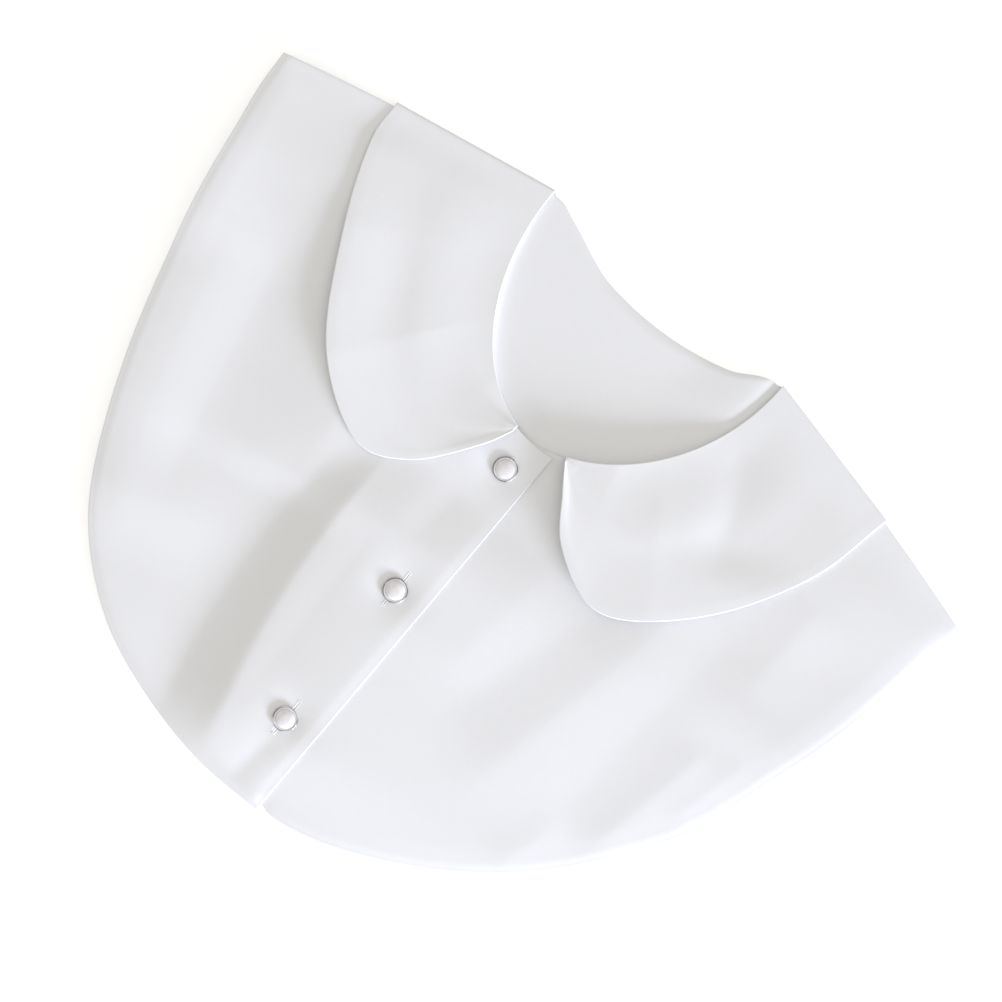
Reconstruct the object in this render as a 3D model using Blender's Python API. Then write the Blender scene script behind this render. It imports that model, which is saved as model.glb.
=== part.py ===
"""A detachable collar: a buttoned shirt front and back with a rounded collar, laid flat, front up.

+X runs across the shoulders, +Y up to the neck and +Z up from the surface it lies on. Left and right
are as seen from above with the neck at the top. The back panel lies under the two fronts, and the
collar's leaf is folded at the shoulders, so that its back half lies under the back panel.
"""

import collections
import math

import bpy
import numpy as np

# Every size is in millimetres, and MM turns it into Blender's metres.
MM = 0.001

# Cloth walls and the clearance between pieces
PANEL_WALL = 1.0
LEAF_WALL = 1.2
GAP = 0.3
NECK_TURN = LEAF_WALL + GAP  # from the visible neck edge out to the panels' own edge

# Neck, with the collar's fold line at NECK_Y
NECK_WIDTH = 132.0
NECK_Y = 145.3
FRONT_NECK_DEPTH = 90.0
FRONT_NECK_LEAN = 8.0  # how far the right half of the front neckline leans to the left
BACK_NECK_DEPTH = 16.2

# Shoulders
SHOULDER_WIDTH = 393.8
SHOULDER_Y = 114.4
SHOULDER_BOW = 1.4
BOW_COLUMNS = 6  # columns of a front over which the shoulder's bow fades out

# How far along the shoulder each panel's edge starts, clear of the collar's fold
FRONT_SHOULDER_START = 0.5
BACK_SHOULDER_START = 2.2

# Front opening
FRONT_EDGE_X = 10.4
FRONT_LAP = 30.0
NECK_CORNER_INSET = 0.8  # how far the top of the front edge lies inside its line
BUTTON_INSET = 15.4
BUTTON_NECK_SHIFT = 2.0  # how much nearer the edge the top button sits

# Back panel and the hidden half of the collar's leaf
BACK_INSET = 6.0
BACK_MIDDLE_Y = 20.0
BACK_LEAF_DEPTH = 76.0
BACK_PLATEAU = 1.1  # size of the back panel's raised part, as a share of the leaf under it
BACK_STEP = 0.22  # width of the slope round the raised part, as a share of the same

# How the cloth lies
FRONT_FLOAT = 3.0  # how far the fronts stand off the back in their middle
FLOAT_RUN = 45.0
TROUGH_LIMIT = 0.8  # share of that float that a trough may take away
FOLD_AT_HEM = 0.35  # share of a fold's height that is left at the hem
HEM_DROOP = 0.9
HEM_RUN = 5.0
LAP_RISE = PANEL_WALL + GAP + 0.45
LAP_RUN = 12.0
LAP_CLEAR = 2.0  # how far before the under front the left one is fully raised

# Collar roll and its fold at the shoulders
ROLL_RADIUS = 1.5
BACK_ROLL_RADIUS = 0.9
ROLL_TOP = 2.4
FOLD_RADIUS = 2.2
FOLD_Z = LEAF_WALL / 2 + FOLD_RADIUS
FOLD_STEPS = 4
TURN_END = 0.4
LEAF_FIRST = 0.02  # first station of the leaf, as a share of the way to the shoulder
SHOULDER_NEAR = 0.8  # share from which the leaf rises to its fold
SHOULDER_LEVEL = 0.9  # share from which it levels out
BACK_TURN_RUN = 0.12  # share of the hidden half over which it leaves the fold
ROLL_RUN = 0.3  # share of the leaf's width over which the roll dies down
EDGE_RUN = 0.45  # share of the leaf's width over which its edge lifts
VALLEY_FADE = 0.3
VALLEY_START = 0.2

# Buttons
BUTTON_DIAMETER = 11.5
RIM_WIDTH = 0.5
RIM_HEIGHT = 1.6
RIM_BEVEL = 0.3
CUP_FLOOR = 0.7
PEARL_HEIGHT = 3.2
PEARL_ANGLES = (75, 58, 41, 24, 8)
PEARL_SKIRT = 0.25  # how far down the pearl's widest part reaches inside the rim
SHANK_DIAMETER = 2.2
BUTTONHOLE_LENGTH = 18.0
BUTTONHOLE_WIDTH = SHANK_DIAMETER + 2 * GAP
BUTTONHOLE_POINTS = 7
BUTTONHOLE_FULLNESS = 0.7  # below 1 the buttonhole's ends are blunter
CUT_DEPTH = 1.6
BUTTON_YS = (38.3, -33.8, -108.2)

# Fineness of the meshes
FRONT_COLUMNS = 44
PANEL_ROWS = 22
BACK_COLUMNS = 26
LEAF_STATIONS = 20
BACK_STATIONS = 20
LEAF_ROWS = 9
TURNED_SIDES = 20
CURVE_STEPS = 24
EDGE_STATIONS = 40
LAP_STATIONS = 4  # stations of the right front's edge that the left front hides
HEM_ROW_STEP = 0.02
SHARP_ANGLE = 40

LEFT = -1
RIGHT = 1

Place = collections.namedtuple("Place", "x y")
Lift = collections.namedtuple("Lift", "share middle edge")
Fold = collections.namedtuple("Fold", "x0 y0 x1 y1 bow rise before after")

# The fronts' side and hem, from the shoulder corner round to the front edge
FRONT_OUTLINES = {
    LEFT: (
        Place(-196.9, 114.4),
        Place(-195.4, 97.0),
        Place(-191.6, 76.0),
        Place(-186.7, 48.5),
        Place(-178.8, 17.0),
        Place(-163.9, -30.0),
        Place(-143.4, -75.5),
        Place(-122.6, -104.6),
        Place(-92.0, -127.6),
        Place(-58.0, -140.6),
        Place(-22.6, -147.2),
        Place(11.2, -147.4),
    ),
    RIGHT: (
        Place(196.9, 114.4),
        Place(190.2, 76.0),
        Place(185.0, 44.5),
        Place(177.0, 14.4),
        Place(163.7, -28.7),
        Place(148.7, -54.6),
        Place(131.4, -77.9),
        Place(111.5, -98.4),
        Place(84.0, -119.0),
        Place(48.7, -137.4),
        Place(20.0, -145.2),
        Place(7.0, -141.0),
        Place(-7.0, -132.5),
        Place(-19.6, -119.0),
    ),
}

# The leaf's outer edge in front, from its rounded front corner up to the shoulder
LEAF_OUTLINES = {
    LEFT: (
        Place(-10.4, 55.8),
        Place(-18.6, 39.0),
        Place(-38.1, 14.0),
        Place(-62.8, 5.6),
        Place(-98.7, 29.0),
        Place(-127.9, 76.3),
        Place(-142.5, 110.9),
        Place(-144.3, 129.3),
    ),
    RIGHT: (
        Place(13.5, 59.9),
        Place(23.0, 46.8),
        Place(38.0, 28.6),
        Place(63.5, 17.0),
        Place(85.4, 26.0),
        Place(112.0, 54.5),
        Place(131.5, 92.0),
        Place(139.4, 129.7),
    ),
}

# Where the leaf starts on the front neckline, in degrees round from the neck point
LEAF_START = {LEFT: 81.0, RIGHT: 72.0}

# How far the leaf stands off the front in its middle and at its edge, from front corner to shoulder
LEAF_LIFTS = {
    LEFT: (
        Lift(0.00, 2.6, 3.4),
        Lift(0.25, 2.2, 2.4),
        Lift(0.50, 2.2, 5.0),
        Lift(0.75, 2.2, 5.4),
        Lift(0.92, 2.0, 2.4),
        Lift(1.00, 1.9, 1.9),
    ),
    RIGHT: (
        Lift(0.00, 2.6, 4.0),
        Lift(0.25, 2.2, 4.0),
        Lift(0.45, 2.0, 2.6),
        Lift(0.75, 2.0, 3.6),
        Lift(0.92, 2.0, 2.2),
        Lift(1.00, 1.9, 1.9),
    ),
}

# Folds of the fronts, each along a line from (x0, y0) to (x1, y1), bowed sideways at its middle. A ridge
# has a positive rise and a trough a negative one, and before and after are its half widths.
FOLDS = (
    Fold(-45, 22, -31, -150, -9.0, 3.6, 12, 34),
    Fold(-65, 16, -47, -150, -10.0, -1.8, 26, 12),
    Fold(-138, 92, -84, -12, -8.0, -2.0, 18, 18),
    Fold(-158, 60, -122, -92, 6.0, 1.8, 20, 34),
    Fold(-83, 2, -72, -68, 0.0, 0.8, 18, 10),
    Fold(-12, 22, -14, -14, 0.0, -0.5, 12, 12),
    Fold(-4, -116, -7, -146, 0.0, -0.7, 7, 6),
    Fold(42, 24, 34, -52, 0.0, 0.9, 16, 16),
    Fold(68, 26, 42, -84, 2.0, -1.1, 18, 18),
    Fold(97, 50, 72, -78, 1.0, 1.8, 20, 24),
    Fold(122, 56, 112, -70, 0.0, -0.8, 18, 18),
    Fold(141, -8, 134, -84, 0.0, 1.6, 13, 12),
    Fold(163, 12, 153, -36, 0.0, 0.8, 9, 9),
    Fold(178, 92, 174, 4, 2.0, 1.2, 20, 10),
    Fold(143, 86, 142, 30, 0.0, 0.8, 14, 14),
    Fold(117, -62, 107, -100, 0.0, 0.8, 11, 9),
)

# The soft valley that runs down the right leaf from the neck point
LEAF_VALLEY = Fold(62, 150, 95, 58, 0.0, -1.1, 20, 24)

FOLD_FADE = 0.22
FOLD_SHARPNESS = 1.5


def smooth(share):
    """0 below 0 and 1 above 1, with a smooth rise between."""
    share = np.clip(share, 0, 1)
    return share * share * (3 - 2 * share)


def curve_at(places, shares):
    """Points at these shares of the length of a smooth curve through the places."""
    knots = np.array(places, float)
    ends = np.vstack([2 * knots[0] - knots[1], knots, 2 * knots[-1] - knots[-2]])
    t = np.linspace(0, 1, CURVE_STEPS, endpoint=False)[:, None]
    spans = []
    for a, b, c, d in zip(ends, ends[1:], ends[2:], ends[3:]):
        square = 2 * a - 5 * b + 4 * c - d
        cube = 3 * b - a - 3 * c + d
        spans.append(b + (t * (c - a) + t**2 * square + t**3 * cube) / 2)
    fine = np.vstack(spans + [knots[-1:]])
    steps = np.hypot(*np.diff(fine, axis=0).T)
    along = np.concatenate([[0], np.cumsum(steps)]) / steps.sum()
    return np.stack([np.interp(shares, along, fine[:, axis]) for axis in (0, 1)], axis=-1)


def distance_to(line, x, y):
    """Distance from each (x, y) to a line of points."""
    nearest = np.full(np.shape(x), np.inf)
    for (ax, ay), (bx, by) in zip(line, line[1:]):
        length2 = (bx - ax) ** 2 + (by - ay) ** 2
        share = np.clip(((x - ax) * (bx - ax) + (y - ay) * (by - ay)) / length2, 0, 1)
        off_x, off_y = x - ax - share * (bx - ax), y - ay - share * (by - ay)
        nearest = np.minimum(nearest, np.hypot(off_x, off_y))
    return nearest


def front_neck(side, degrees, out=0.0):
    """The front neckline, from the neck point at 0 degrees round to the middle of the front at 90."""
    angle = np.radians(degrees)
    lean = FRONT_NECK_LEAN if side == RIGHT else 0.0
    x = side * (NECK_WIDTH / 2 + out) * np.cos(angle) - lean * np.sin(angle) ** 2
    y = NECK_Y - (FRONT_NECK_DEPTH + out) * np.sin(angle)
    return np.stack([x, y], axis=-1)


def back_neck(shares, out=0.0):
    """The back neckline, a shallow arc from the left neck point to the right one."""
    half = NECK_WIDTH / 2
    radius = (half**2 + BACK_NECK_DEPTH**2) / (2 * BACK_NECK_DEPTH)
    reach = math.asin(half / radius)
    angle = (2 * np.asarray(shares) - 1) * reach
    centre_y = NECK_Y - BACK_NECK_DEPTH + radius
    return np.stack([(radius + out) * np.sin(angle), centre_y - (radius + out) * np.cos(angle)], axis=-1)


def shoulder_line(side):
    """The body's shoulder edge, from the neck out to the corner, with a slight outward bow."""
    share = np.linspace(0, 1, 9)
    start = front_neck(side, 0.0, NECK_TURN)
    x = start[0] + share * (side * SHOULDER_WIDTH / 2 - start[0])
    y = start[1] + share * (SHOULDER_Y - start[1]) + 4 * SHOULDER_BOW * share * (1 - share)
    return np.stack([x, y], axis=-1)


def fold_height(fold, x, y):
    """The height that one fold adds at each (x, y)."""
    along_x, along_y = fold.x1 - fold.x0, fold.y1 - fold.y0
    length = math.hypot(along_x, along_y)
    share = ((x - fold.x0) * along_x + (y - fold.y0) * along_y) / length**2
    across = ((y - fold.y0) * along_x - (x - fold.x0) * along_y) / length
    inside = np.clip(share, 0, 1)
    across = across - fold.bow * 4 * inside * (1 - inside)
    width = np.where(across < 0, fold.before, fold.after)
    fade = smooth(share / FOLD_FADE) * smooth((1 - share) / FOLD_FADE)
    return fold.rise * fade * np.exp(-(np.abs(across / width) ** FOLD_SHARPNESS))


EDGE_SHARES = np.linspace(0, 1, EDGE_STATIONS)
EDGES = {side: curve_at(FRONT_OUTLINES[side], EDGE_SHARES) for side in (LEFT, RIGHT)}
HEM = np.vstack([EDGES[LEFT], EDGES[RIGHT][::-1][LAP_STATIONS:]])


def back_height(x, y):
    """Middle of the back panel: it lies on the surface, and rises over the hidden half of the leaf."""
    left_end, right_end = LEAF_OUTLINES[LEFT][-1], LEAF_OUTLINES[RIGHT][-1]
    centre_x = (left_end.x + right_end.x) / 2
    half = (right_end.x - left_end.x) / 2
    reach = np.hypot((x - centre_x) / half, np.minimum(y - left_end.y, 0) / BACK_LEAF_DEPTH)
    over = smooth((BACK_PLATEAU + BACK_STEP - reach) / BACK_STEP)
    return PANEL_WALL / 2 + (LEAF_WALL + GAP) * over


def front_height(side, x, y):
    """Middle of a front panel: it lies on the back, floats in its middle, and carries the folds."""
    to_hem = distance_to(HEM, x, y)
    to_edge = to_hem
    for end in (LEFT, RIGHT):
        to_edge = np.minimum(to_edge, distance_to(shoulder_line(end), x, y))
    free = smooth(to_edge / FLOAT_RUN)
    held = FOLD_AT_HEM + (1 - FOLD_AT_HEM) * smooth(4 * to_edge / FLOAT_RUN)
    folds = held * sum(fold_height(fold, x, y) for fold in FOLDS)
    height = back_height(x, y) + PANEL_WALL + GAP + FRONT_FLOAT * free
    height = height + np.maximum(folds, -TROUGH_LIMIT * FRONT_FLOAT * free)
    height = height - HEM_DROOP * smooth(1 - to_hem / HEM_RUN)
    if side == LEFT:
        lap_start = FRONT_EDGE_X - FRONT_LAP - LAP_RUN
        height = height + LAP_RISE * smooth((x - lap_start) / (LAP_RUN - LAP_CLEAR))
    return height


def leaf_height(side, share, across, x, y):
    """Middle of the leaf in front, above the panel that it lies on."""
    rows = LEAF_LIFTS[side]
    shares = [row.share for row in rows]
    middle = np.interp(share, shares, [row.middle for row in rows])
    edge = np.interp(share, shares, [row.edge for row in rows])
    near = smooth((share - SHOULDER_NEAR) / (1 - SHOULDER_NEAR))
    roll = ROLL_TOP + (rows[-1].middle - ROLL_TOP) * near
    lift = middle + (roll - middle) * (1 - smooth(across / ROLL_RUN))
    lift = lift + (edge - middle) * smooth((across - 1 + EDGE_RUN) / EDGE_RUN)
    if side == RIGHT:
        fade = smooth((1 - share) / VALLEY_FADE) * smooth(across / VALLEY_START)
        lift = lift + fold_height(LEAF_VALLEY, x, y) * fade
    return front_height(side, x, y) + np.maximum(lift, rows[-1].middle)


def material(name, colour, roughness, metallic=0.0):
    made = bpy.data.materials.new(name)
    made.use_nodes = True
    surface = made.node_tree.nodes["Principled BSDF"]
    surface.inputs["Base Color"].default_value = (*colour, 1)
    surface.inputs["Roughness"].default_value = roughness
    surface.inputs["Metallic"].default_value = metallic
    return made


def add_object(name, vertices, faces, finish):
    mesh = bpy.data.meshes.new(name)
    mesh.from_pydata((np.asarray(vertices) * MM).tolist(), [], faces)
    mesh.shade_smooth()
    mesh.materials.append(finish)
    made = bpy.data.objects.new(name, mesh)
    bpy.context.scene.collection.objects.link(made)
    return made


def cloth(name, grid, wall, finish):
    """A cloth wall of even thickness round a grid of points, given as rows by columns."""
    rows, columns = grid.shape[:2]
    faces = []
    for row in range(rows - 1):
        for column in range(columns - 1):
            corner = row * columns + column
            faces.append((corner, corner + 1, corner + columns + 1, corner + columns))
    made = add_object(name, grid.reshape(-1, 3), faces, finish)
    thickness = made.modifiers.new("Cloth thickness", "SOLIDIFY")
    thickness.thickness = wall * MM
    thickness.offset = 0
    return made


def ruled_grid(inner, outer, row_shares):
    """Rows of points on straight lines from an inner edge out to an outer edge."""
    shares = np.asarray(row_shares)[:, None, None]
    return inner[None] + shares * (outer - inner)[None]


def panel_rows():
    """Row shares from neckline to hem, closer together at the hem, where the cloth turns down."""
    inner = np.linspace(0, 1 - 2 * HEM_ROW_STEP, PANEL_ROWS - 2)
    return np.concatenate([inner, [1 - HEM_ROW_STEP, 1]])


def bowed(grid):
    """The grid with its shoulder end bowed like the shoulder line, fading out over a few columns."""
    shares = panel_rows()[:, None]
    columns = np.arange(grid.shape[1])[None]
    grid[..., 1] += 4 * SHOULDER_BOW * shares * (1 - shares) * smooth(1 - columns / BOW_COLUMNS)
    return grid


def make_front(side, finish):
    """One front panel, from the shoulder at its first column to the front edge at its last."""
    start = side * (NECK_WIDTH / 2 + NECK_TURN)
    lean = FRONT_NECK_LEAN if side == RIGHT else 0.0
    end_x = FRONT_EDGE_X - (NECK_CORNER_INSET if side == LEFT else FRONT_LAP)
    end_angle = math.degrees(math.acos((end_x + lean) / start))
    inner = front_neck(side, np.linspace(0, end_angle, FRONT_COLUMNS), NECK_TURN)
    outer = curve_at(FRONT_OUTLINES[side], np.linspace(0, 1, FRONT_COLUMNS))
    inner[0] += FRONT_SHOULDER_START * (outer[0] - inner[0]) / np.hypot(*(outer[0] - inner[0]))
    plan = bowed(ruled_grid(inner, outer, panel_rows()))
    heights = front_height(side, plan[..., 0], plan[..., 1])
    grid = np.concatenate([plan, heights[..., None]], axis=-1)
    name = "front_panel_left" if side == LEFT else "front_panel_right"
    return cloth(name, grid, PANEL_WALL, finish)


def make_back(finish):
    """The back panel, from the left shoulder at its first column to the right shoulder at its last."""
    inner = back_neck(np.linspace(0, 1, BACK_COLUMNS), NECK_TURN)
    outline = np.vstack([EDGES[LEFT][:-LAP_STATIONS], EDGES[RIGHT][-LAP_STATIONS - 3 :: -1]])
    to_middle = np.array([0, BACK_MIDDLE_Y]) - outline
    inset = outline + BACK_INSET * to_middle / np.hypot(*to_middle.T)[:, None]
    outer = curve_at(inset, np.linspace(0, 1, BACK_COLUMNS))
    for end, side in ((0, LEFT), (-1, RIGHT)):
        line = shoulder_line(side)
        along = (line[-1] - line[0]) / np.hypot(*(line[-1] - line[0]))
        inner[end] = line[0] + BACK_SHOULDER_START * along
        outer[end] = line[-1] - BACK_INSET * along
    plan = ruled_grid(inner, outer, panel_rows())
    heights = back_height(plan[..., 0], plan[..., 1])
    grid = np.concatenate([plan, heights[..., None]], axis=-1)
    return cloth("back_panel", grid, PANEL_WALL, finish)


def collar_section(length, radius, top, end, leaf):
    """The collar's cut section, as distances out from the neck edge and heights off the body's middle.

    It starts inside the neck, turns over the body's edge and runs out along the leaf, at its heights.
    """
    half = LEAF_WALL / 2
    turn = np.radians([0, 30, 60, 90])
    out = np.concatenate([[half], half + radius * (1 - np.cos(turn))])
    height = np.concatenate([[end], top - radius + radius * np.sin(turn)])
    shares = np.linspace(0, 1, LEAF_ROWS)[1:]
    leaf_out = out[-1] + shares * (length - out[-1])
    return np.concatenate([out, leaf_out]), np.concatenate([height, leaf])


def collar_column(start, finish, middle_z, tilt, radius, end, heights_of):
    """One column of the collar from its neck edge to its outer edge, turned about them by tilt."""
    toward = finish - start
    length = np.hypot(*toward)
    toward = toward / length
    beyond = np.array([-toward[1], toward[0]])
    if beyond[1] < 0:
        beyond = -beyond
    top_out = LEAF_WALL / 2 + radius
    across = np.linspace(0, 1, LEAF_ROWS)
    plan = start + (top_out + across * (length - top_out))[:, None] * toward
    heights = heights_of(across, plan[:, 0], plan[:, 1])
    out, height = collar_section(length, radius, heights[0], end, heights[1:])
    points = start + out[:, None] * toward + (height * math.sin(tilt))[:, None] * beyond
    return np.column_stack([points, middle_z + height * math.cos(tilt)])


def level(height):
    """A leaf that stays at one height off the body's middle."""
    return lambda across, x, y: np.full(np.shape(across), height)


def front_columns(side):
    """Columns of the leaf's front half, from its front corner to the shoulder."""
    shares = np.linspace(LEAF_FIRST, 1, LEAF_STATIONS)
    starts = front_neck(side, LEAF_START[side] * (1 - shares))
    finishes = curve_at(LEAF_OUTLINES[side], shares)
    columns = []
    for share, start, finish in zip(shares, starts, finishes):
        near = smooth((share - SHOULDER_NEAR) / (1 - SHOULDER_NEAR))
        edge_z = float(front_height(side, start[0], start[1]))
        middle_z = edge_z + (FOLD_Z - edge_z) * near
        end = -PANEL_WALL / 2 + (TURN_END + PANEL_WALL / 2) * near

        def heights(across, x, y, share=share, middle_z=middle_z):
            laid = leaf_height(side, share, across, x, y)
            level_share = smooth((share - SHOULDER_LEVEL) / (1 - SHOULDER_LEVEL))
            return laid + (FOLD_Z + FOLD_RADIUS - laid) * level_share - middle_z

        columns.append(collar_column(start, finish, middle_z, 0.0, ROLL_RADIUS, end, heights))
    return columns


def fold_columns(side):
    """Columns round the shoulder fold, from the front half to the back half."""
    start = front_neck(side, 0.0)
    finish = np.array(LEAF_OUTLINES[side][-1])
    heights = level(FOLD_RADIUS)
    columns = []
    for step in range(1, FOLD_STEPS):
        tilt = math.pi * step / FOLD_STEPS
        columns.append(collar_column(start, finish, FOLD_Z, tilt, ROLL_RADIUS, TURN_END, heights))
    return columns


def back_columns():
    """Columns of the leaf's hidden half, from the left shoulder to the right one."""
    left_end, right_end = np.array(LEAF_OUTLINES[LEFT][-1]), np.array(LEAF_OUTLINES[RIGHT][-1])
    shares = np.linspace(0, 1, BACK_STATIONS)
    starts = back_neck(shares)
    angles = math.pi * shares[:, None]
    middle = (left_end + right_end) / 2
    half = (right_end - left_end) / 2
    finishes = middle - np.cos(angles) * half - np.sin(angles) * [0, BACK_LEAF_DEPTH]
    columns = []
    for share, start, finish in zip(shares, starts, finishes):
        near = smooth(1 - np.minimum(share, 1 - share) / BACK_TURN_RUN)
        edge_z = float(back_height(start[0], start[1]))
        middle_z = edge_z + (FOLD_Z - edge_z) * near
        end = -PANEL_WALL / 2 + (TURN_END + PANEL_WALL / 2) * near
        radius = BACK_ROLL_RADIUS + (ROLL_RADIUS - BACK_ROLL_RADIUS) * near
        heights = level(middle_z - LEAF_WALL / 2)
        columns.append(collar_column(start, finish, middle_z, math.pi, radius, end, heights))
    return columns


def make_collar(finish):
    """The whole collar in one wall: front left, shoulder fold, back, shoulder fold and front right."""
    columns = front_columns(LEFT) + fold_columns(LEFT) + back_columns()
    columns += fold_columns(RIGHT)[::-1] + front_columns(RIGHT)[::-1]
    return cloth("collar", np.stack(columns, axis=1), LEAF_WALL, finish)


def turned(name, profile, place, finish):
    """A turned solid whose (radius, height) profile runs from the top of its axis to the bottom."""
    vertices = [(0, 0, profile[0][1])]
    for radius, height in profile[1:-1]:
        for side in range(TURNED_SIDES):
            angle = 2 * math.pi * side / TURNED_SIDES
            vertices.append((radius * math.cos(angle), radius * math.sin(angle), height))
    vertices.append((0, 0, profile[-1][1]))
    last = len(vertices) - 1
    faces = []
    for side in range(TURNED_SIDES):
        after = (side + 1) % TURNED_SIDES
        faces.append((0, 1 + side, 1 + after))
        for ring in range(len(profile) - 3):
            upper, lower = 1 + ring * TURNED_SIDES, 1 + (ring + 1) * TURNED_SIDES
            faces.append((upper + side, lower + side, lower + after, upper + after))
        lower = last - TURNED_SIDES
        faces.append((last, lower + after, lower + side))
    made = add_object(name, vertices, faces, finish)
    made.location = [value * MM for value in place]
    made.data.set_sharp_from_angle(angle=math.radians(SHARP_ANGLE))
    return made


def seat_height(side, x, y, radius):
    """Height just clear of a front's highest point within this radius."""
    angles = np.linspace(0, 2 * math.pi, 12, endpoint=False)
    radii = np.array([[0.3], [0.7], [1.0]]) * radius
    spots = front_height(side, x + radii * np.cos(angles), y + radii * np.sin(angles))
    return float(np.max(spots)) + PANEL_WALL / 2 + GAP


def make_buttons(silver, pearl):
    """Three half pearls in thin rims, each with a shank through its buttonhole to the under front."""
    radius = BUTTON_DIAMETER / 2
    shank = SHANK_DIAMETER / 2
    cup = radius - RIM_WIDTH
    for number, y in enumerate(BUTTON_YS, start=1):
        x = button_x(y)
        base = seat_height(LEFT, x, y, radius)
        foot = seat_height(RIGHT, x, y, 2 * shank) - base
        rim = (
            (0, CUP_FLOOR),
            (cup, CUP_FLOOR),
            (cup, RIM_HEIGHT - RIM_BEVEL / 3),
            (cup + RIM_BEVEL / 2, RIM_HEIGHT),
            (radius - RIM_BEVEL / 2, RIM_HEIGHT),
            (radius, RIM_HEIGHT - RIM_BEVEL),
            (radius, RIM_BEVEL),
            (radius - RIM_BEVEL, 0),
            (shank, 0),
            (shank, foot),
            (0, foot),
        )
        turned(f"button_rim_{number}", rim, (x, y, base), silver)
        dome = cup - GAP
        under = CUP_FLOOR + GAP
        rise = PEARL_HEIGHT - RIM_HEIGHT
        angles = np.radians(PEARL_ANGLES)
        arc = [(dome * math.cos(angle), RIM_HEIGHT + rise * math.sin(angle)) for angle in angles]
        base_ring = [(dome, RIM_HEIGHT - PEARL_SKIRT), (dome, under), (0, under)]
        pearl_profile = [(0, PEARL_HEIGHT)] + arc + base_ring
        turned(f"button_pearl_{number}", pearl_profile, (x, y, base), pearl)


def button_x(y):
    """Where a button sits across the front: the top one is a little nearer the edge."""
    return FRONT_EDGE_X - BUTTON_INSET + BUTTON_NECK_SHIFT * smooth(y / BUTTON_YS[0])


def cut_buttonholes(front, finish):
    """Cuts the three spindle-shaped buttonholes through the left front, along its front edge."""
    vertices, faces = [], []
    shares = np.linspace(0, 1, BUTTONHOLE_POINTS)
    widths = BUTTONHOLE_WIDTH / 2 * np.abs(np.sin(math.pi * shares)) ** BUTTONHOLE_FULLNESS
    right_side = list(zip(widths, BUTTONHOLE_LENGTH * (shares - 0.5)))
    outline = right_side + [(-x, y) for x, y in right_side[-2:0:-1]]
    for y in BUTTON_YS:
        x = button_x(y)
        middle = float(front_height(LEFT, x, y))
        first, count = len(vertices), len(outline)
        for z in (middle - CUT_DEPTH, middle + CUT_DEPTH):
            vertices += [(x + dx, y + dy, z) for dx, dy in outline]
        faces.append(tuple(first + k for k in reversed(range(count))))
        faces.append(tuple(first + count + k for k in range(count)))
        for k in range(count):
            after = (k + 1) % count
            faces.append((first + k, first + after, first + count + after, first + count + k))
    cutter = add_object("buttonhole_cutter", vertices, faces, finish)
    cutter.display_type = "WIRE"
    cutter.hide_render = True
    cut = front.modifiers.new("Buttonholes", "BOOLEAN")
    cut.operation = "DIFFERENCE"
    cut.object = cutter


def main():
    for obj in list(bpy.data.objects):
        bpy.data.objects.remove(obj, do_unlink=True)
    cotton = material("white cotton", (0.84, 0.85, 0.87), 0.85)
    silver = material("silver rim", (0.55, 0.55, 0.56), 0.25, 1.0)
    pearl = material("pearl", (0.88, 0.87, 0.85), 0.2)
    make_back(cotton)
    make_front(RIGHT, cotton)
    left = make_front(LEFT, cotton)
    cut_buttonholes(left, cotton)
    make_collar(cotton)
    make_buttons(silver, pearl)


main()
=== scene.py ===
"""A detachable collar laid flat: thin cotton panels and a rounded leaf, with three half-pearl buttons.

Sizes are in millimetres in the frame's axes: +X across the shoulders, +Y up to the neck and +Z up from
the floor. The cloth repeats the form of the frame's solids, with finer folds, edges and sewing.
"""

import collections
import math

import bpy
import numpy as np
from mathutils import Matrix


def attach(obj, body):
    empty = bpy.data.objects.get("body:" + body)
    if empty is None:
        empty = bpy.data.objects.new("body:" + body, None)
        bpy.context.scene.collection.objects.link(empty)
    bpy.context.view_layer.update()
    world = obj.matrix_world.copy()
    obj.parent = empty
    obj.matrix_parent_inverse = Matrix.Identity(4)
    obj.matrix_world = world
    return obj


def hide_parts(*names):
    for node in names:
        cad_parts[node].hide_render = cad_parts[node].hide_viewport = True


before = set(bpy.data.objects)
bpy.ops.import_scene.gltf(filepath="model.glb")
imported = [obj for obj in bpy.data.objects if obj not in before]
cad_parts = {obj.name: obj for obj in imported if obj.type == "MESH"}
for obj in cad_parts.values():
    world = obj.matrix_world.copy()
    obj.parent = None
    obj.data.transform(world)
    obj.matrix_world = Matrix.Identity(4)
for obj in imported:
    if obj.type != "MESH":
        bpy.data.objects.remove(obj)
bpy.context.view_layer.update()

MM = 0.001
LEFT = -1
RIGHT = 1

# The room that each layer takes, its cloth's own thickness, and the gap between layers
PANEL_WALL = 0.4
LEAF_WALL = 0.7
GAP = 0.1
NECK_TURN = LEAF_WALL + 2 * GAP
BACK_NECK_EDGE = 0.2  # how far inside the visible neck edge the back panel's edge lies
CLOTH = 0.35
LEAF_CLOTH = 0.5
SEAM_SWELL = 0.1  # how much thicker the leaf is over its turned seam allowance
SEAM_WIDTH = 6.0
SEAM_FADE = 2.0  # the width over which that swell fades away

# Neck and shoulders
NECK_WIDTH = 132.0
NECK_Y = 145.3
FRONT_NECK_DEPTH = 90.0
FRONT_NECK_LEAN = 8.0
BACK_NECK_DEPTH = 16.2
SHOULDER_WIDTH = 393.8
SHOULDER_Y = 114.4
SHOULDER_BOW = 1.4
SHOULDER_STATIONS = 9
SHOULDER_TURN = 0.4  # radius in which the fronts turn down into the back at the shoulders
FRONT_SHOULDER_START = 0.5  # how far out along the shoulder each front starts
BACK_SHOULDER_START = 1.2

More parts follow.
